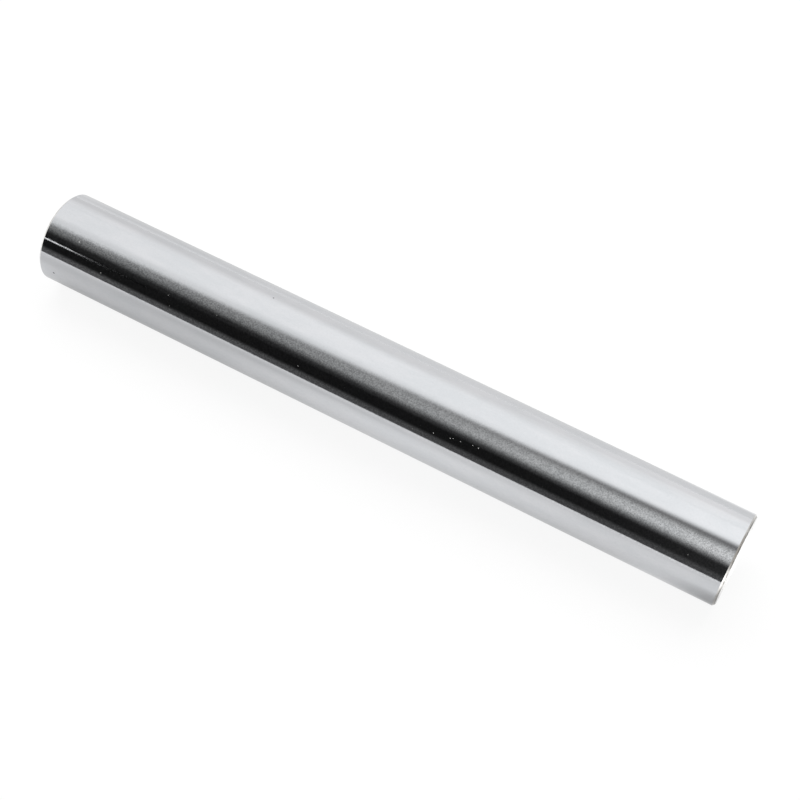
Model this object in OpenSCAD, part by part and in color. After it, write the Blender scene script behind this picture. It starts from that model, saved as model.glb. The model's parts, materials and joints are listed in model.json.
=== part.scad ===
// Plain round linear shaft: one bar of hard chrome plated, ground bearing steel.
// The bar lies along X with its mid-length point, on the axis, at the origin.

/* [Bar] */
// Diameter of the ground and plated barrel
bar_d = 25; // [6:0.5:60]
// Length over both end faces
bar_len = 200; // [60:5:1000]

/* [Ends] */
// Length of each end chamfer along the axis
chamfer_len = 0.6; // [0.2:0.1:2]
// Angle of the chamfer to the axis, in degrees
chamfer_angle = 45; // [30:5:60]

/* [Finish] */
// Facets round the bar in a preview
smoothness = 96; // [32:16:256]

/* [Hidden] */
bar_r = bar_d / 2;
half_len = bar_len / 2;
// How far the chamfer cuts in from the barrel, which is the face's step down from the barrel
chamfer_drop = chamfer_len * tan(chamfer_angle);
face_r = bar_r - chamfer_drop;
// Start of the chamfers, so the barrel runs from -barrel_end to +barrel_end
barrel_end = half_len - chamfer_len;

// Half section of the bar, radius across and axis up
module half_section() {
    polygon([
        [0, -half_len],
        [face_r, -half_len],
        [bar_r, -barrel_end],
        [bar_r, barrel_end],
        [face_r, half_len],
        [0, half_len]
    ]);
}

// The bar, turned from its half section and laid along X
module shaft() {
    color([0.78, 0.79, 0.81])
        rotate([0, 90, 0])
            rotate_extrude($fn = smoothness)
                half_section();
}

shaft();
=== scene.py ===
"""Looks of a plain round linear shaft: a hard chrome plated, ground bearing steel bar lying in a light tent.

The frame gives the bar's size. This script turns the bar with rounded chamfer corners and faced ends, gives
the barrel its plated finish and the ends their turned one, and stands it in a small product studio.
"""

from __future__ import annotations

import json
import logging
import math
from dataclasses import dataclass
from enum import Enum

import bpy
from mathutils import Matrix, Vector

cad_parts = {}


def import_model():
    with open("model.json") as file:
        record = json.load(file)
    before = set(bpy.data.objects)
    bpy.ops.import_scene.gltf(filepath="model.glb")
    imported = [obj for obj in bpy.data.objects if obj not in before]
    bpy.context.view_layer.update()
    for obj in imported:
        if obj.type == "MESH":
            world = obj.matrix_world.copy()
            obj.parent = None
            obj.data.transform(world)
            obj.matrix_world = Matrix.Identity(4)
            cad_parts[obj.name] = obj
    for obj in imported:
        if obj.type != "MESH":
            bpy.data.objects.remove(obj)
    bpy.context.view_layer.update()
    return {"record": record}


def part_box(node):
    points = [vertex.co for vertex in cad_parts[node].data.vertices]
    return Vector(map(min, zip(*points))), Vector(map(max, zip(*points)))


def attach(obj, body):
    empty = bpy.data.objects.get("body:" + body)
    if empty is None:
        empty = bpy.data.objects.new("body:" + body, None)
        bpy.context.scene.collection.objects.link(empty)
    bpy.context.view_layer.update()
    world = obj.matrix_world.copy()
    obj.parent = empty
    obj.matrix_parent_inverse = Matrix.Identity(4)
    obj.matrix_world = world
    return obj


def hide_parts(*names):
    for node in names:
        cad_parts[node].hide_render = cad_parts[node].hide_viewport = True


LOG = logging.getLogger("linear_shaft")
MM = 0.001
Colour = tuple[float, float, float, float]


class Layer(Enum):
    """The kinds of node tree that the script builds."""

    GEOMETRY = "GeometryNodeTree"
    SHADER = "ShaderNodeTree"


class Graph:
    """A node tree, with short calls that add a node, feed its inputs and give back its output."""

    def __init__(self, tree: bpy.types.NodeTree) -> None:
        """Wraps a tree.

        Args:
            tree: The node tree to add nodes to.
        """
        self.tree = tree

    @classmethod
    def group(cls, name: str, layer: Layer) -> Graph:
        """Starts a node group.

        Args:
            name: The group's name.
            layer: Whether it makes geometry or shades.

        Returns:
            The empty group's graph.
        """
        return cls(bpy.data.node_groups.new(name, layer.value))

    def add(self, kind: str, feeds: dict[str | int, object] | None = None,
            **settings: object) -> bpy.types.Node:
        """Adds a node.

        Args:
            kind: The node's type name.
            feeds: Each input's name or place, with a value or the output socket that drives it.
            settings: Properties of the node itself.

        Returns:
            The node.
        """
        node = self.tree.nodes.new(kind)
        for name, value in settings.items():
            setattr(node, name, value)
        for key, value in (feeds or {}).items():
            self.feed(node.inputs[key], value)
        return node

    def feed(self, socket: bpy.types.NodeSocket, value: object) -> None:
        """Links an output to a socket, or sets the socket's value.

        Args:
            socket: The input to feed.
            value: An output socket or a plain value.
        """
        if isinstance(value, bpy.types.NodeSocket):
            self.tree.links.new(value, socket)
        else:
            socket.default_value = value

    def math(self, operation: str, *operands: object, clamp: bool = False) -> bpy.types.NodeSocket:
        """Works out one number.

        Args:
            operation: The Math node's operation.
            operands: Its values or driving sockets, in order.
            clamp: Whether the result stays from 0 to 1.

        Returns:
            The result's socket.
        """
        kind = "ShaderNodeMath"
        return self.add(kind, dict(enumerate(operands)), operation=operation, use_clamp=clamp).outputs[0]

    def mix(self, weight: object, first: object, second: object) -> bpy.types.NodeSocket:
        """Mixes two colours.

        Args:
            weight: The second colour's share.
            first: The first colour or its socket.
            second: The second colour or its socket.

        Returns:
            The mixed colour's socket.
        """
        node = self.add("ShaderNodeMix", {"Factor": weight}, data_type="RGBA")
        ends = [socket for socket in node.inputs if socket.type == "RGBA"]
        self.feed(ends[0], first)
        self.feed(ends[1], second)
        return next(socket for socket in node.outputs if socket.type == "RGBA")

    def smooth(self, value: object, start: object, end: object, low: object = 0.0,
               high: object = 1.0) -> bpy.types.NodeSocket:
        """Eases from one level to another as a value passes through a span.

        Args:
            value: The socket that moves.
            start: Where the span starts.
            end: Where the span ends.
            low: The level before the span.
            high: The level after it.

        Returns:
            The level's socket.
        """
        feeds = {"Value": value, "From Min": start, "From Max": end, "To Min": low, "To Max": high}
        return self.add("ShaderNodeMapRange", feeds, interpolation_type="SMOOTHSTEP").outputs["Result"]


@dataclass(frozen=True)
class ShaftSizes:
    """The bar's sizes in metres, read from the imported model."""

    radius: float
    length: float
    chamfer: float

    @classmethod
    def from_frame(cls, record: dict) -> ShaftSizes:
        """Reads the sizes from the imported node's box and from the barrel mount.

        Args:
            record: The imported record.

        Returns:
            The sizes.
        """
        low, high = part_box("shaft")
        barrel = next(mount for mount in record["mounts"] if mount["name"] == "barrel")
        length = high.x - low.x
        chamfer = (length - barrel["dims"]["length_mm"] * MM) / 2
        return cls(radius=barrel["dims"]["r_mm"] * MM, length=length, chamfer=chamfer)


@dataclass(frozen=True)
class Fleck:
    """A speck of dust on the barrel, or a pit where it is dark.

    It lies some millimetres from the middle of the bar and some degrees round it, from 0 at the front through
    90 on top.
    """

    along: float
    angle: float
    radius: float
    dark: bool = False

    def centre(self, bar_radius: float) -> tuple[float, float, float]:
        """Works out the fleck's place on the barrel.

        Args:
            bar_radius: The barrel's radius.

        Returns:
            The place in metres.
        """
        turn = math.radians(self.angle)
        return (self.along * MM, -bar_radius * math.cos(turn), bar_radius * math.sin(turn))


@dataclass(frozen=True)
class HardChrome:
    """Hard chrome over a ground barrel: a cool mirror with a satin strip, an oil film, dust and pits."""

    colour: Colour = (0.777, 0.785, 0.808, 1.0)
    film_colour: Colour = (0.737, 0.752, 0.776, 1.0)
    dust_colour: Colour = (0.80, 0.79, 0.76, 1.0)
    pit_colour: Colour = (0.05, 0.05, 0.05, 1.0)
    roughness: tuple[float, float] = (0.055, 0.085)
    film_scale: tuple[float, float, float] = (60.0, 210.0, 210.0)
    speckle_scale: float = 3700.0
    speckle_depth: float = 0.48
    satin_edges: tuple[float, float, float, float] = (28.0, 36.0, 69.0, 81.0)
    left_gain: float = 0.35
    left_lean: float = 5.0
    mirror_speckle: float = 0.06
    grain_scale: tuple[float, float, float] = (3300.0, 1050.0, 1050.0)
    grain_height: float = 0.0038 * MM
    flecks: tuple[Fleck, ...] = (
        Fleck(32.1, 50.4, 0.13), Fleck(30.5, 50.3, 0.09), Fleck(27.3, 48.1, 0.09),
        Fleck(25.2, 47.5, 0.08),
        Fleck(24.5, 46.2, 0.10), Fleck(20.0, 43.0, 0.12), Fleck(-19.7, 44.1, 0.07), Fleck(-45.5, 56.4, 0.07),
        Fleck(-58.8, 40.9, 0.06), Fleck(-60.1, 52.3, 0.07), Fleck(-80.5, 40.2, 0.10), Fleck(-89.5, 63.4, 0.13),
        Fleck(89.5, 45.7, 0.07), Fleck(14.6, 36.0, 0.06), Fleck(-71.0, 168.0, 0.10), Fleck(12.0, 205.0, 0.09),
        Fleck(58.0, 152.0, 0.08), Fleck(-22.0, 248.0, 0.11), Fleck(76.0, 221.0, 0.09),
        Fleck(-95.1, 6.0, 0.28, dark=True), Fleck(-34.8, 109.2, 0.21, dark=True),
        Fleck(41.0, 187.0, 0.17, dark=True),
    )

    def material(self, sizes: ShaftSizes) -> bpy.types.Material:
        """Makes the plated barrel's material.

        Args:
            sizes: The bar's sizes, which place the flecks.

        Returns:
            The material.
        """
        material = bpy.data.materials.new("hard_chrome")
        material.use_nodes = True
        graph = Graph(material.node_tree)
        shader = graph.tree.nodes["Principled BSDF"]
        place = graph.add("ShaderNodeTexCoord").outputs["Object"]
        film = self._film(graph, place)
        clean = graph.mix(film, self.colour, self.film_colour)
        feeds = {0: clean, "Scale": self._speckle(graph, place)}
        speckled = graph.add("ShaderNodeVectorMath", feeds, operation="SCALE").outputs[0]
        dust = self._marks(graph, place, sizes.radius, False)
        pits = self._marks(graph, place, sizes.radius, True)
        dusty = graph.mix(dust, speckled, self.dust_colour)
        graph.feed(shader.inputs["Base Color"], graph.mix(pits, dusty, self.pit_colour))
        graph.feed(shader.inputs["Metallic"], graph.math("SUBTRACT", 1.0, graph.math("MAXIMUM", dust, pits)))
        low, high = self.roughness
        haze = graph.math("MULTIPLY_ADD", film, high - low, low)
        graph.feed(shader.inputs["Roughness"], graph.math("MULTIPLY_ADD", dust, 0.6, haze))
        graph.feed(shader.inputs["Normal"], self._grain(graph, place))
        return material

    def _film(self, graph: Graph, place: bpy.types.NodeSocket) -> bpy.types.NodeSocket:
        """Spreads a faint oil film in clouds drawn out along the bar.

        Args:
            graph: The material's graph.
            place: The object coordinates.

        Returns:
            The film's weight from 0 to 1.
        """
        drawn = graph.add("ShaderNodeMapping", {"Vector": place, "Scale": self.film_scale}).outputs[0]
        feeds = {"Vector": drawn, "Scale": 1.0, "Detail": 5.0, "Roughness": 0.72}
        return graph.smooth(graph.add("ShaderNodeTexNoise", feeds).outputs[0], 0.36, 0.64)

    def _speckle(self, graph: Graph, place: bpy.types.NodeSocket) -> bpy.types.NodeSocket:
        """Speckles the plating with fine lighter and darker dots, mostly in the satin strip along the bar.

        Args:
            graph: The material's graph.
            place: The object coordinates.

        Returns:
            The factor on the plating's colour.
        """
        split = graph.add("ShaderNodeSeparateXYZ", {0: place}).outputs
        forward = graph.math("SUBTRACT", 0.0, split["Y"])
        angle = graph.math("DEGREES", graph.math("ARCTAN2", split["Z"], forward))
        start, full, fade, end = self.satin_edges
        leftward = graph.smooth(split["X"], -0.04, 0.04, 1.0, 0.0)
        leant = graph.math("MULTIPLY_ADD", leftward, self.left_lean, angle)
        opened = graph.smooth(angle, start, full)
        closed = graph.smooth(leant, fade, end, 1.0, 0.0)
        coarse = graph.math("MULTIPLY_ADD", leftward, self.left_gain, 1.0)
        strip = graph.math("MULTIPLY", coarse, graph.math("MULTIPLY", opened, closed))
        share = graph.math("MULTIPLY_ADD", strip, 1.0 - self.mirror_speckle, self.mirror_speckle)
        feeds = {"Vector": place, "Scale": self.speckle_scale}
        cells = graph.add("ShaderNodeTexVoronoi", feeds).outputs["Color"]
        chance = graph.add("ShaderNodeSeparateColor", {"Color": cells}).outputs["Red"]
        swing = graph.math("MULTIPLY", graph.math("SUBTRACT", chance, 0.5), self.speckle_depth)
        return graph.math("MULTIPLY_ADD", swing, share, 1.0)

    def _marks(self, graph: Graph, place: bpy.types.NodeSocket, bar_radius: float,
               dark: bool) -> bpy.types.NodeSocket:
        """Sets the dust flecks or the dark pits where they lie.

        Args:
            graph: The material's graph.
            place: The object coordinates.
            bar_radius: The barrel's radius.
            dark: Whether to set the pits.

        Returns:
            The marks' weight from 0 to 1.
        """
        weight = 0.0
        for fleck in self.flecks:
            if fleck.dark == dark:
                feeds = {0: place, 1: fleck.centre(bar_radius)}
                away = graph.add("ShaderNodeVectorMath", feeds, operation="DISTANCE").outputs["Value"]
                dot = graph.smooth(away, fleck.radius * 0.5 * MM, fleck.radius * 1.3 * MM, 1.0, 0.0)
                weight = graph.math("MAXIMUM", weight, dot)
        return weight

    def _grain(self, graph: Graph, place: bpy.types.NodeSocket) -> bpy.types.NodeSocket:
        """Raises the grinding wheel's fine crosswise grain.

        Args:
            graph: The material's graph.
            place: The object coordinates.

        Returns:
            The bumped normal.
        """
        stretched = graph.add("ShaderNodeMapping", {"Vector": place, "Scale": self.grain_scale}).outputs[0]
        feeds = {"Vector": stretched, "Scale": 1.0, "Detail": 2.0, "Roughness": 0.5}
        height = graph.add("ShaderNodeTexNoise", feeds).outputs[0]
        feeds = {"Height": height, "Strength": 1.0, "Distance": self.grain_height}
        return graph.add("ShaderNodeBump", feeds).outputs[0]


@dataclass(frozen=True)
class TurnedSteel:
    """Bare bearing steel of the faced and chamfered ends, with painted shade in dark dashes along the corner
    between them.
    """

    face_colour: Colour = (0.62, 0.61, 0.595, 1.0)
    chamfer_colour: Colour = (0.78, 0.765, 0.74, 1.0)
    # Colour of the painted shade along the corner, also used for the dull blotches.
    corner_shade_and_blotch_colour: Colour = (0.16, 0.15, 0.135, 1.0)
    roughness: tuple[float, float] = (0.16, 0.30)
    dash_scale: float = 480.0
    ring_pitch: float = 0.11 * MM
    ring_height: float = 0.0035 * MM
    speckle_scale: float = 2600.0

    def material(self, sizes: ShaftSizes) -> bpy.types.Material:
        """Makes the bare ends' material.

        Args:
            sizes: The bar's sizes, which place the corner.

        Returns:
            The material.
        """
        material = bpy.data.materials.new("turned_steel")
        material.use_nodes = True
        graph = Graph(material.node_tree)
        shader = graph.tree.nodes["Principled BSDF"]
        place = graph.add("ShaderNodeTexCoord").outputs["Object"]
        split = graph.add("ShaderNodeSeparateXYZ", {0: place}).outputs
        out = graph.math("SQRT", graph.math("ADD", graph.math("POWER", split["Y"], 2.0),
                                            graph.math("POWER", split["Z"], 2.0)))
        face_rim = sizes.radius - sizes.chamfer
        past_rim = graph.math("SUBTRACT", out, face_rim)
        on_chamfer = graph.smooth(past_rim, 0.0, 0.02 * MM)
        # Painted shade: a dark line along the corner between the end face and the chamfer, broken into dashes
        # below.
        shade_toward_corner = graph.smooth(graph.math("ABSOLUTE", past_rim), 0.1 * MM, 0.38 * MM, 1.0, 0.0)
        corner = graph.math("MULTIPLY", shade_toward_corner, graph.smooth(past_rim, -0.14 * MM, -0.06 * MM))
        feeds = {"Vector": place, "Scale": self.dash_scale}
        dashes = graph.smooth(graph.add("ShaderNodeTexNoise", feeds).outputs[0], 0.42, 0.6, 0.35, 0.9)
        speckle = self._speckle(graph, place)
        colour = graph.mix(on_chamfer, self.face_colour, self.chamfer_colour)
        # Paints the dashed shade along the corner.
        colour = graph.mix(graph.math("MULTIPLY", corner, dashes), colour, self.corner_shade_and_blotch_colour)
        dulled = graph.mix(graph.math("MULTIPLY", speckle, 0.3), colour, self.corner_shade_and_blotch_colour)
        graph.feed(shader.inputs["Base Color"], dulled)
        shader.inputs["Metallic"].default_value = 1.0
        low, high = self.roughness
        graph.feed(shader.inputs["Roughness"], graph.smooth(speckle, 0.0, 1.0, low, high))
        graph.feed(shader.inputs["Normal"], self._rings(graph, place, out))
        return material

    def _speckle(self, graph: Graph, place: bpy.types.NodeSocket) -> bpy.types.NodeSocket:
        """Blotches the steel with fine dull marks.

        Args:
            graph: The material's graph.
            place: The object coordinates.

        Returns:
            The marks' weight from 0 to 1.
        """
        feeds = {"Vector": place, "Scale": self.speckle_scale, "Detail": 2.0}
        noise = graph.add("ShaderNodeTexNoise", feeds).outputs[0]
        return graph.smooth(noise, 0.48, 0.66)

    def _rings(self, graph: Graph, place: bpy.types.NodeSocket,
               out: bpy.types.NodeSocket) -> bpy.types.NodeSocket:
        """Cuts the facing tool's fine rings, uneven in depth.

        Args:
            graph: The material's graph.
            place: The object coordinates.
            out: The distance from the axis.

        Returns:
            The bumped normal.
        """
        wander = graph.add("ShaderNodeTexNoise", {"Vector": place, "Scale": 90.0}).outputs[0]
        turns = graph.math("MULTIPLY_ADD", out, 1.0 / self.ring_pitch, wander)
        feeds = {"W": turns, "Scale": 1.0, "Detail": 1.0}
        height = graph.add("ShaderNodeTexNoise", feeds, noise_dimensions="1D").outputs[0]
        feeds = {"Height": height, "Strength": 1.0, "Distance": self.ring_height}
        return graph.add("ShaderNodeBump", feeds).outputs[0]


@dataclass(frozen=True)
class Lathe:
    """How finely the bar is turned, in metres and counts."""

    segments: int = 176
    corner_round: float = 0.09 * MM
    corner_steps: int = 5
    corner_reach: float = 0.25 * MM
    facing_pitch: float = 0.4 * MM
    facing_depth: float = 0.009 * MM
    steps_per_groove: int = 4
    barrel_rings: int = 24


class LinearShaft:
    """The bar itself, turned about X by Geometry Nodes."""

    def __init__(self, sizes: ShaftSizes, lathe: Lathe, plating: HardChrome, ends: TurnedSteel) -> None:
        """Keeps what the bar is made from.

        Args:
            sizes: The bar's sizes.
            lathe: How finely it is turned.
            plating: The barrel's finish.
            ends: The end faces' and chamfers' finish.
        """
        self.sizes = sizes
        self.lathe = lathe
        self.plating = plating
        self.ends = ends

    def input_values(self) -> dict[str, tuple[str, object]]:
        """Lists the tree's named inputs.

        Returns:
            Each input's name, with its socket type and value.
        """
        face_radius = self.sizes.radius - self.sizes.chamfer
        grooves = face_radius / self.lathe.facing_pitch
        return {
            "Radius": ("NodeSocketFloat", self.sizes.radius),
            "Half Length": ("NodeSocketFloat", self.sizes.length / 2),
            "Chamfer": ("NodeSocketFloat", self.sizes.chamfer),
            "Corner Round": ("NodeSocketFloat", self.lathe.corner_round),
            "Corner Steps": ("NodeSocketInt", self.lathe.corner_steps),
            "Corner Reach": ("NodeSocketFloat", self.lathe.corner_reach),
            "Facing Pitch": ("NodeSocketFloat", self.lathe.facing_pitch),
            "Facing Depth": ("NodeSocketFloat", self.lathe.facing_depth),
            "Face Steps": ("NodeSocketInt", round(grooves * self.lathe.steps_per_groove)),
            "Barrel Rings": ("NodeSocketInt", self.lathe.barrel_rings),
            "Segments": ("NodeSocketInt", self.lathe.segments),
            "Plating": ("NodeSocketMaterial", self.plating.material(self.sizes)),
            "Bare Steel": ("NodeSocketMaterial", self.ends.material(self.sizes)),
        }

    def turning_tree(self, values: dict[str, tuple[str, object]]) -> bpy.types.NodeTree:
        """Builds the tree that turns half a bar from its profile and lays it end to end with its own copy.

        In the profile, X is the distance from the barrel and Y the depth below the middle plane.

        Args:
            values: The tree's inputs, from input_values.

        Returns:
            The tree.
        """
        graph = Graph.group("turned_bar", Layer.GEOMETRY)
        faces = graph.tree.interface
        for name, (socket_type, _) in values.items():
            faces.new_socket(name, in_out="INPUT", socket_type=socket_type)
        faces.new_socket("Geometry", in_out="OUTPUT", socket_type="NodeSocketGeometry")
        given = graph.add("NodeGroupInput").outputs
        profile = graph.add("GeometryNodeJoinGeometry")
        pieces = (self._face_line(graph, given), self._corners(graph, given), self._barrel_line(graph, given))
        for piece in pieces:
            graph.tree.links.new(piece, profile.inputs[0])
        feeds = {"Resolution": given["Segments"], "Radius": given["Radius"]}
        ring = graph.add("GeometryNodeCurvePrimitiveCircle", feeds)
        feeds = {"Curve": ring.outputs["Curve"], "Profile Curve": profile.outputs[0]}
        half = graph.add("GeometryNodeCurveToMesh", feeds).outputs["Mesh"]
        bar = graph.add("GeometryNodeJoinGeometry")
        for turn in (90.0, -90.0):
            feeds = {"Geometry": half, "Rotation": (0.0, math.radians(turn), 0.0)}
            graph.tree.links.new(graph.add("GeometryNodeTransform", feeds).outputs[0], bar.inputs[0])
        feeds = {"Geometry": bar.outputs[0], "Distance": 0.001 * MM}
        welded = graph.add("GeometryNodeMergeByDistance", feeds).outputs[0]
        smooth = graph.add("GeometryNodeSetShadeSmooth", {"Geometry": welded}).outputs[0]
        real = graph.add("GeometryNodeRealizeInstances", {"Geometry": smooth}).outputs[0]
        feeds = {"Geometry": real, "Material": given["Plating"]}
        plated = graph.add("GeometryNodeSetMaterial", feeds).outputs[0]
        ends = self._past_barrel(graph, given)
        feeds = {"Geometry": plated, "Selection": ends, "Material": given["Bare Steel"]}
        dressed = graph.add("GeometryNodeSetMaterial", feeds).outputs[0]
        graph.add("NodeGroupOutput", {"Geometry": dressed})
        return graph.tree

    def _face_line(self, graph: Graph, given: bpy.types.NodeOutputs) -> bpy.types.NodeSocket:
        """Draws the end face from the axis to near its rim, with the facing tool's grooves.

        Args:
            graph: The tree.
            given: The tree's inputs.

        Returns:
            The profile's curve.
        """
        middle = graph.math("SUBTRACT", 0.0, given["Radius"])
        rim = graph.math("SUBTRACT", 0.0, graph.math("ADD", given["Chamfer"], given["Corner Reach"]))
        depth = graph.math("SUBTRACT", 0.0, given["Half Length"])
        start = graph.add("ShaderNodeCombineXYZ", {"X": middle, "Y": depth}).outputs[0]
        end = graph.add("ShaderNodeCombineXYZ", {"X": rim, "Y": depth}).outputs[0]
        line = graph.add("GeometryNodeCurvePrimitiveLine", {"Start": start, "End": end}).outputs[0]
        feeds = {"Curve": line, "Count": given["Face Steps"]}
        stepped = graph.add("GeometryNodeResampleCurve", feeds).outputs[0]
        place = graph.add("GeometryNodeInputPosition").outputs[0]
        outward = graph.add("ShaderNodeSeparateXYZ", {0: place}).outputs["X"]
        from_rim = graph.math("SUBTRACT", rim, outward)
        turns = graph.math("DIVIDE", from_rim, given["Facing Pitch"])
        wave = graph.math("COSINE", graph.math("MULTIPLY", turns, math.tau))
        cut = graph.math("MULTIPLY", graph.math("SUBTRACT", 1.0, wave), 0.5)
        inward = graph.math("MULTIPLY", cut, given["Facing Depth"])
        offset = graph.add("ShaderNodeCombineXYZ", {"Y": inward}).outputs[0]
        return graph.add("GeometryNodeSetPosition", {"Geometry": stepped, "Offset": offset}).outputs[0]

    def _corners(self, graph: Graph, given: bpy.types.NodeOutputs) -> bpy.types.NodeSocket:
        """Draws the chamfer and a short reach to either side of it, with both its corners rounded.

        Args:
            graph: The tree.
            given: The tree's inputs.

        Returns:
            The profile's curve.
        """
        inner = graph.math("SUBTRACT", 0.0, given["Chamfer"])
        face = graph.math("SUBTRACT", 0.0, given["Half Length"])
        shoulder = graph.math("ADD", face, given["Chamfer"])
        places = (
            {"X": graph.math("SUBTRACT", inner, given["Corner Reach"]), "Y": face},
            {"X": inner, "Y": face},
            {"Y": shoulder},
            {"Y": graph.math("ADD", shoulder, given["Corner Reach"])},
        )
        chosen = graph.add("GeometryNodeIndexSwitch", data_type="VECTOR")
        for _ in places[2:]:
            chosen.index_switch_items.new()
        graph.feed(chosen.inputs["Index"], graph.add("GeometryNodeInputIndex").outputs[0])
        for number, place in enumerate(places):
            graph.feed(chosen.inputs[number + 1], graph.add("ShaderNodeCombineXYZ", place).outputs[0])
        chain = graph.add("GeometryNodeMeshLine", {"Count": len(places)}).outputs[0]
        feeds = {"Geometry": chain, "Position": chosen.outputs[0]}
        placed = graph.add("GeometryNodeSetPosition", feeds).outputs[0]
        curve = graph.add("GeometryNodeMeshToCurve", {"Mesh": placed}).outputs[0]
        feeds = {"Curve": curve, "Count": given["Corner Steps"], "Radius": given["Corner Round"]}
        return graph.add("GeometryNodeFilletCurve", feeds, mode="POLY").outputs[0]

    def _barrel_line(self, graph: Graph, given: bpy.types.NodeOutputs) -> bpy.types.NodeSocket:
        """Draws the barrel from beside the chamfer to the middle of the bar.

        Args:
            graph: The tree.
            given: The tree's inputs.

        Returns:
            The profile's curve.
        """
        shoulder = graph.math("SUBTRACT", given["Chamfer"], given["Half Length"])
        start = graph.math("ADD", shoulder, given["Corner Reach"])
        feeds = {"Start": graph.add("ShaderNodeCombineXYZ", {"Y": start}).outputs[0], "End": (0.0, 0.0, 0.0)}
        line = graph.add("GeometryNodeCurvePrimitiveLine", feeds).outputs[0]
        feeds = {"Curve": line, "Count": given["Barrel Rings"]}
        return graph.add("GeometryNodeResampleCurve", feeds).outputs[0]

    def _past_barrel(self, graph: Graph, given: bpy.types.NodeOutputs) -> bpy.types.NodeSocket:
        """Tells the faces of the chamfers and end faces from the barrel's.

        Args:
            graph: The tree.
            given: The tree's inputs.

        Returns:
            A socket that is true past either end of the barrel.
        """
        place = graph.add("GeometryNodeInputPosition").outputs[0]
        along = graph.math("ABSOLUTE", graph.add("ShaderNodeSeparateXYZ", {0: place}).outputs["X"])
        barrel_end = graph.math("SUBTRACT", given["Half Length"], given["Chamfer"])
        return graph.math("GREATER_THAN", along, barrel_end)

    def build(self) -> bpy.types.Object:
        """Turns the bar, makes it a plain mesh and seats it in the frame.

        Returns:
            The bar's object.
        """
        values = self.input_values()
        tree = self.turning_tree(values)
        blank = bpy.data.objects.new("turning_blank", bpy.data.meshes.new("turning_blank"))
        bpy.context.scene.collection.objects.link(blank)
        modifier = blank.modifiers.new("turning", "NODES")
        modifier.node_group = tree
        for item in tree.interface.items_tree:
            if item.in_out == "INPUT":
                modifier[item.identifier] = values[item.name][1]
        evaluated = blank.evaluated_get(bpy.context.evaluated_depsgraph_get())
        mesh = bpy.data.meshes.new_from_object(evaluated)
        mesh.name = "shaft_bar"
        bpy.data.objects.remove(blank)
        bar = bpy.data.objects.new("shaft_bar", mesh)
        bpy.context.scene.collection.objects.link(bar)
        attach(bar, "root")
        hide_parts("shaft")
        return bar


@dataclass(frozen=True)
class LightBand:
    """A lit strip along the tent, from one height angle in front of the bar to another.

    Angles are in degrees round the bar, from 0 at the front horizon through 90 overhead. The strip has one
    level at the tent's left mark and another at its right mark, and each edge may lean between them.
    """

    name: str
    near: float
    far: float
    near_blur: float
    far_blur: float
    left_level: float
    right_level: float
    near_lean: float = 0.0
    far_lean: float = 0.0
    power: float = 1.0
    tint: Colour = (1.0, 1.0, 1.0, 1.0)


@dataclass(frozen=True)
class Tent:
    """A half round diffuser along the bar, with the strips of light that show on it."""

    radius: float = 1.0
    half_length: float = 1.6
    left_mark: float = -0.60
    right_mark: float = 0.08
    bands: tuple[LightBand, ...] = (
        LightBand("gloom", -3.0, 200.0, 1.0, 1.0, 0.0085, 0.027, power=9.0),
        LightBand("table_edge", -9.0, -2.0, 1.0, 1.6, 0.57, 0.74, far_lean=5.8),
        LightBand("skirting", -2.0, 17.3, 2.0, 10.4, 0.083, 0.042, far_lean=5.0),
        LightBand("reflector_foot", 38.0, 76.0, 8.0, 14.0, 0.008, 0.065, power=2.0),
        LightBand("reflector", 49.0, 94.5, 20.5, 20.9, 0.20, 0.62, -7.0, -3.2, 2.2, (0.99, 1.0, 0.99, 1.0)),
        LightBand("softbox", 68.6, 162.6, 15.1, 26.6, 0.372, 0.695, 20.2, 4.8, 1.0, (0.98, 1.0, 1.0, 1.0)),
        LightBand("softbox_core", 63.6, 169.5, 39.4, 24.7, 0.544, 0.345, 9.0, -14.3, 1.0,
                  (1.012, 1.0, 1.0, 1.0)),
        LightBand("backdrop", 139.7, 230.0, 25.9, 1.0, 0.71, 0.86, -3.3, 0.0, 1.0, (1.005, 1.0, 0.998, 1.0)),
    )


@dataclass(frozen=True)
class GlowCard:
    """A flat lit card that only glossy surfaces see, brightening from one side to the other."""

    name: str
    centre: tuple[float, float, float]
    width: float
    height: float
    faces: tuple[float, float, float]
    levels: tuple[float, float]
    ramp: tuple[float, float]
    tint: Colour = (1.0, 1.0, 1.0, 1.0)

    def build(self) -> bpy.types.Object:
        """Makes the card and turns it to what it faces, its width level.

        Returns:
            The card's object.
        """
        centre = Vector(self.centre)
        toward = (Vector(self.faces) - centre).normalized()
        across = Vector((0.0, 0.0, 1.0)).cross(toward).normalized()
        upward = toward.cross(across)
        corners = []
        for side, rise in ((-0.5, -0.5), (0.5, -0.5), (0.5, 0.5), (-0.5, 0.5)):
            corners.append(centre + across * (side * self.width) + upward * (rise * self.height))
        mesh = bpy.data.meshes.new(self.name)
        mesh.from_pydata(corners, [], [(0, 1, 2, 3)])
        mesh.materials.append(self.material())
        card = bpy.data.objects.new(self.name, mesh)
        bpy.context.scene.collection.objects.link(card)
        card.visible_camera = False
        card.visible_diffuse = False
        card.visible_shadow = False
        return card

    def material(self) -> bpy.types.Material:
        """Makes the card's glow, which changes with height, or along X on a card that faces a side wall.

        Returns:
            The material.
        """
        material = bpy.data.materials.new(self.name)
        material.use_nodes = True
        graph = Graph(material.node_tree)
        graph.tree.nodes.clear()
        place = graph.add("ShaderNodeTexCoord").outputs["Object"]
        split = graph.add("ShaderNodeSeparateXYZ", {0: place}).outputs
        travel = split["Z"] if self.width <= self.height else split["X"]
        low, high = self.levels
        strength = graph.smooth(travel, self.ramp[0], self.ramp[1], low, high)
        glow = graph.add("ShaderNodeEmission", {"Color": self.tint, "Strength": strength})
        graph.add("ShaderNodeOutputMaterial", {"Surface": glow.outputs[0]})
        return material


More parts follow.
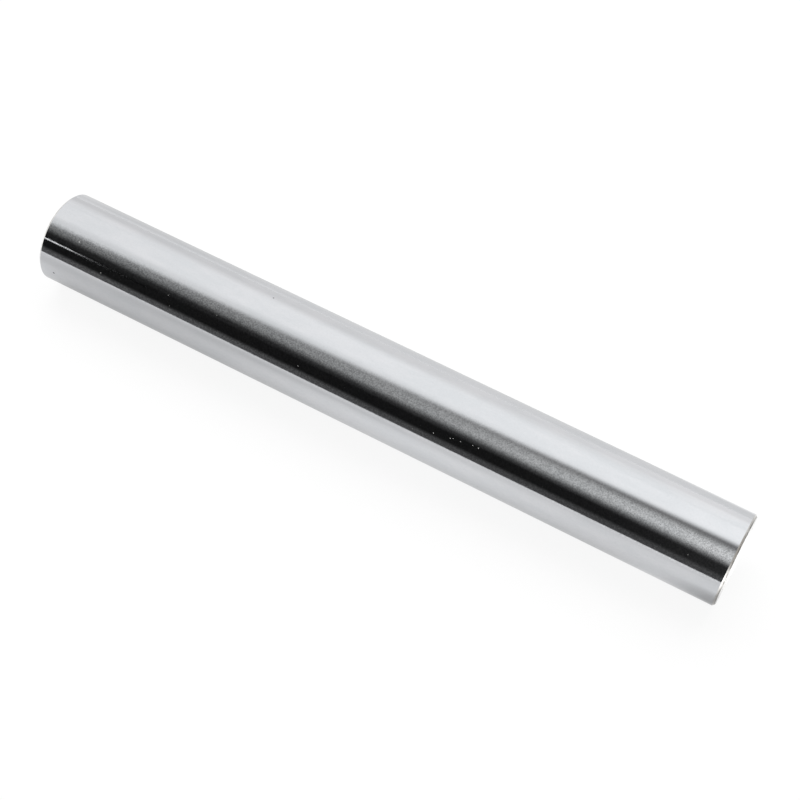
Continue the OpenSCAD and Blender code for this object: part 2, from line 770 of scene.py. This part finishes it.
@dataclass(frozen=True)
class PaintedFloorPool:
    """A round pool of painted light, or of painted shadow where its gain is negative, on the floor's glow that
    metal sees, easing out to its rim.
    """

    centre: tuple[float, float, float]
    reach: float
    gain: float


class Studio:
    """The floor, the tent, the lamp over it and the world around them."""

    cards = (
        GlowCard("tube", (-1.3, -0.814, 0.576), 1.6, 0.051, (-1.3, 0.0, 0.0), (1.1, 0.0), (-0.595, -0.571)),
        GlowCard("right_curtain", (1.5, 0.0, 1.0), 2.2, 2.3, (0.0, 0.0, 1.0), (0.43, 0.85), (0.35, 1.1),
                 (1.0, 0.96, 0.91, 1.0)),
        GlowCard("left_curtain", (-1.5, 0.0, 1.0), 2.2, 2.3, (0.0, 0.0, 1.0), (0.45, 0.85), (0.2, 1.1)),
    )
    # Painted pools of light and shadow on the floor's glow for metal, the bar's own shadow by its right end
    # among them.
    painted_pools = (
        PaintedFloorPool((-0.09, -0.08, 0.0), 0.14, -0.32),
        PaintedFloorPool((-0.15, -0.21, 0.0), 0.14, -0.18),
        PaintedFloorPool((-0.11, 0.08, 0.0), 0.09, -0.10),
        PaintedFloorPool((0.0, -0.035, 0.0), 0.07, 0.14),
        PaintedFloorPool((-0.175, 0.02, 0.0), 0.085, 0.45),
        PaintedFloorPool((-0.135, -0.012, 0.0), 0.04, 0.9),
        PaintedFloorPool((0.05, -0.2, 0.0), 0.16, -0.07),
        PaintedFloorPool((0.17, 0.075, 0.0), 0.09, -0.25),
        PaintedFloorPool((0.145, -0.025, 0.0), 0.05, 0.9),
        PaintedFloorPool((0.185, -0.033, 0.0), 0.09, 1.7),
        PaintedFloorPool((0.109, -0.014, 0.0), 0.03, -0.9),
        PaintedFloorPool((0.1, 0.008, 0.0), 0.04, 0.65),
        PaintedFloorPool((0.1, 0.003, 0.0), 0.018, 0.9),
    )

    def __init__(self, tent: Tent, floor_height: float) -> None:
        """Keeps what the studio is made from.

        Args:
            tent: The light tent.
            floor_height: The floor's height in the frame.
        """
        self.tent = tent
        self.floor_height = floor_height

    def band_group(self) -> bpy.types.NodeTree:
        """Builds the node group that gives one lit strip's strength at a point of the tent.

        Returns:
            The group.
        """
        graph = Graph.group("light_band", Layer.SHADER)
        names = ("Angle", "Share", "Near", "Far", "Near Blur", "Far Blur", "Left Level", "Right Level",
                 "Near Lean", "Far Lean", "Power")
        for name in names:
            graph.tree.interface.new_socket(name, in_out="INPUT", socket_type="NodeSocketFloat")
        graph.tree.interface.new_socket("Tint", in_out="INPUT", socket_type="NodeSocketColor")
        graph.tree.interface.new_socket("Light", in_out="OUTPUT", socket_type="NodeSocketVector")
        given = graph.add("NodeGroupInput").outputs
        near = graph.math("MULTIPLY_ADD", given["Near Lean"], given["Share"], given["Near"])
        near_end = graph.math("ADD", near, given["Near Blur"])
        far = graph.math("MULTIPLY_ADD", given["Far Lean"], given["Share"], given["Far"])
        far_start = graph.math("SUBTRACT", far, given["Far Blur"])
        opened = graph.smooth(given["Angle"], near, near_end)
        closed = graph.smooth(given["Angle"], far_start, far, 1.0, 0.0)
        rise = graph.math("SUBTRACT", given["Right Level"], given["Left Level"])
        along = graph.math("POWER", given["Share"], given["Power"])
        level = graph.math("MULTIPLY_ADD", rise, along, given["Left Level"])
        strength = graph.math("MULTIPLY", level, graph.math("MULTIPLY", opened, closed))
        feeds = {0: given["Tint"], "Scale": strength}
        light = graph.add("ShaderNodeVectorMath", feeds, operation="SCALE").outputs[0]
        graph.add("NodeGroupOutput", {"Light": light})
        return graph.tree

    def tent_material(self) -> bpy.types.Material:
        """Makes the tent's glow from its bands.

        Returns:
            The material.
        """
        material = bpy.data.materials.new("tent_glow")
        material.use_nodes = True
        graph = Graph(material.node_tree)
        graph.tree.nodes.clear()
        place = graph.add("ShaderNodeTexCoord").outputs["Object"]
        split = graph.add("ShaderNodeSeparateXYZ", {0: place}).outputs
        forward = graph.math("SUBTRACT", 0.0, split["Y"])
        raised = graph.math("DEGREES", graph.math("ARCTAN2", split["Z"], forward))
        behind = graph.math("LESS_THAN", raised, -90.0)
        angle = graph.math("MULTIPLY_ADD", behind, 360.0, raised)
        feeds = {"Value": split["X"], "From Min": self.tent.left_mark, "From Max": self.tent.right_mark}
        share = graph.add("ShaderNodeMapRange", feeds).outputs["Result"]
        group = self.band_group()
        light = (0.0, 0.0, 0.0)
        for band in self.tent.bands:
            feeds = {
                "Angle": angle, "Share": share, "Near": band.near, "Far": band.far,
                "Near Blur": band.near_blur, "Far Blur": band.far_blur,
                "Left Level": band.left_level, "Right Level": band.right_level,
                "Near Lean": band.near_lean, "Far Lean": band.far_lean,
                "Power": band.power, "Tint": band.tint,
            }
            node = graph.add("ShaderNodeGroup", node_tree=group, label=band.name)
            for name, value in feeds.items():
                graph.feed(node.inputs[name], value)
            feeds = {0: light, 1: node.outputs[0]}
            light = graph.add("ShaderNodeVectorMath", feeds, operation="ADD").outputs[0]
        glow = graph.add("ShaderNodeEmission", {"Color": light, "Strength": 1.0})
        graph.add("ShaderNodeOutputMaterial", {"Surface": glow.outputs[0]})
        return material

    def raise_tent(self) -> bpy.types.Object:
        """Makes the tent, which only glossy surfaces see, down to the floor on both sides.

        Returns:
            The tent's object.
        """
        steps = 120
        foot = math.asin(self.floor_height / self.tent.radius)
        verts = []
        for side in (-self.tent.half_length, self.tent.half_length):
            for step in range(steps + 1):
                angle = foot + (math.pi - 2 * foot) * step / steps
                verts.append((side, -self.tent.radius * math.cos(angle), self.tent.radius * math.sin(angle)))
        faces = [(step, step + 1, steps + step + 2, steps + step + 1) for step in range(steps)]
        mesh = bpy.data.meshes.new("tent")
        mesh.from_pydata(verts, [], faces)
        mesh.materials.append(self.tent_material())
        tent = bpy.data.objects.new("tent", mesh)
        bpy.context.scene.collection.objects.link(tent)
        tent.visible_camera = False
        tent.visible_diffuse = False
        tent.visible_shadow = False
        return tent

    def lay_floor(self) -> bpy.types.Object:
        """Lays the pale floor.

        Returns:
            The floor's object.
        """
        reach = 30.0
        mesh = bpy.data.meshes.new("floor")
        corners = [(-reach, -reach), (reach, -reach), (reach, reach), (-reach, reach)]
        mesh.from_pydata([(x, y, self.floor_height) for x, y in corners], [], [(0, 1, 2, 3)])
        mesh.materials.append(self.floor_material())
        floor = bpy.data.objects.new("floor", mesh)
        bpy.context.scene.collection.objects.link(floor)
        return floor

    def floor_material(self) -> bpy.types.Material:
        """Makes the floor: white to the camera apart from a soft shadow, and to the metal a painted glow with
        painted pools of light and shadow.

        Returns:
            The material.
        """
        material = bpy.data.materials.new("studio_floor")
        material.use_nodes = True
        graph = Graph(material.node_tree)
        graph.tree.nodes.clear()
        paint = graph.add("ShaderNodeBsdfDiffuse", {"Color": (0.8, 0.8, 0.8, 1.0)}).outputs[0]
        white = graph.add("ShaderNodeEmission", {"Color": (1.0, 1.0, 1.0, 1.0), "Strength": 1.06}).outputs[0]
        # Painted light: a glow that glossy rays see in place of the lit floor, with its painted pools.
        painted_floor_glow = graph.add("ShaderNodeEmission", {"Strength": self._painted_floor_tone(graph)}).outputs[0]
        path = graph.add("ShaderNodeLightPath").outputs
        share = graph.math("MULTIPLY", path["Is Glossy Ray"], 0.65)
        mirrored = graph.add("ShaderNodeMixShader", {"Fac": share, 1: paint, 2: painted_floor_glow}).outputs[0]
        share = graph.math("MULTIPLY", path["Is Camera Ray"], 0.82)
        mixed = graph.add("ShaderNodeMixShader", {"Fac": share, 1: mirrored, 2: white}).outputs[0]
        graph.add("ShaderNodeOutputMaterial", {"Surface": mixed})
        return material

    def _painted_floor_tone(self, graph: Graph) -> bpy.types.NodeSocket:
        """Works out the painted glow that the floor shows in polished metal: a little darker behind the bar
        than in front, brighter far behind, with painted pools of light and shadow.

        Args:
            graph: The floor material's graph.

        Returns:
            The level.
        """
        place = graph.add("ShaderNodeTexCoord").outputs["Object"]
        split = graph.add("ShaderNodeSeparateXYZ", {0: place}).outputs
        level = graph.smooth(split["Y"], -0.03, 0.04, 0.74, 0.70)
        level = graph.math("ADD", level, graph.smooth(split["Y"], 0.08, 0.9, 0.0, 0.10))
        # Adds each pool of painted light or painted shadow.
        for pool in self.painted_pools:
            centre = (pool.centre[0], pool.centre[1], self.floor_height)
            feeds = {0: place, 1: centre}
            away = graph.add("ShaderNodeVectorMath", feeds, operation="DISTANCE").outputs["Value"]
            level = graph.math("ADD", level, graph.smooth(away, 0.0, pool.reach, pool.gain, 0.0))
        return level

    def light_world(self) -> bpy.types.World:
        """Fills the room with soft light, white where the camera looks past the floor.

        Returns:
            The world.
        """
        world = bpy.data.worlds.new("soft_room")
        world.use_nodes = True
        graph = Graph(world.node_tree)
        graph.tree.nodes.clear()
        seen = graph.add("ShaderNodeLightPath").outputs["Is Camera Ray"]
        feeds = {"Value": seen, "To Min": 0.6, "To Max": 1.0}
        strength = graph.add("ShaderNodeMapRange", feeds).outputs["Result"]
        room = graph.add("ShaderNodeBackground", {"Color": (1.0, 1.0, 1.0, 1.0), "Strength": strength})
        graph.add("ShaderNodeOutputWorld", {"Surface": room.outputs[0]})
        bpy.context.scene.world = world
        return world

    def hang_lamp(self) -> bpy.types.Object:
        """Hangs the soft lamp that gives the floor its shadow.

        Returns:
            The lamp's object.
        """
        lamp = bpy.data.lights.new("overhead_lamp", "AREA")
        lamp.shape = "RECTANGLE"
        lamp.size = 1.2
        lamp.size_y = 0.9
        lamp.energy = 8.0
        hung = bpy.data.objects.new("overhead_lamp", lamp)
        hung.location = (-0.2, 0.5, 0.9)
        hung.rotation_euler = (-Vector(hung.location)).to_track_quat("-Z", "Y").to_euler()
        hung.visible_glossy = False
        bpy.context.scene.collection.objects.link(hung)
        return hung


@dataclass(frozen=True)
class PhotoCamera:
    """The camera, from the bar's outline: degrees round the bar and above the floor, and metres."""

    azimuth: float = 29.28
    elevation: float = 60.0
    distance: float = 0.433
    aim: tuple[float, float, float] = (0.0056, -0.0006, 0.0)
    lens: float = 75.1

    def place(self) -> bpy.types.Object:
        """Makes the camera and sets it as the scene's.

        Returns:
            The camera's object.
        """
        turn = math.radians(self.azimuth)
        rise = math.radians(self.elevation)
        away = Vector((math.sin(turn) * math.cos(rise), -math.cos(turn) * math.cos(rise), math.sin(rise)))
        data = bpy.data.cameras.new("photo_camera")
        data.lens = self.lens
        data.sensor_width = 36.0
        data.clip_start = 0.01
        camera = bpy.data.objects.new("photo_camera", data)
        camera.location = Vector(self.aim) + away * self.distance
        camera.rotation_mode = "QUATERNION"
        camera.rotation_quaternion = (-away).to_track_quat("-Z", "Y")
        bpy.context.scene.collection.objects.link(camera)
        bpy.context.scene.camera = camera
        return camera


def main() -> None:
    """Builds the shaft around the frame, then the studio."""
    logging.basicConfig(level=logging.INFO, format="%(name)s: %(message)s")
    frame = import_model()
    bpy.context.scene.view_settings.view_transform = "Standard"
    PhotoCamera().place()
    sizes = ShaftSizes.from_frame(frame["record"])
    bar = LinearShaft(sizes, Lathe(), HardChrome(), TurnedSteel()).build()
    LOG.info("%s: %d vertices, %d faces", bar.name, len(bar.data.vertices), len(bar.data.polygons))
    studio = Studio(Tent(), -sizes.radius)
    studio.light_world()
    LOG.info("lamp: %s", studio.hang_lamp().name)
    LOG.info("floor: %s", studio.lay_floor().name)
    LOG.info("tent: %s", studio.raise_tent().name)
    for card in studio.cards:
        LOG.info("card: %s", card.build().name)


if __name__ == "__main__":
    main()
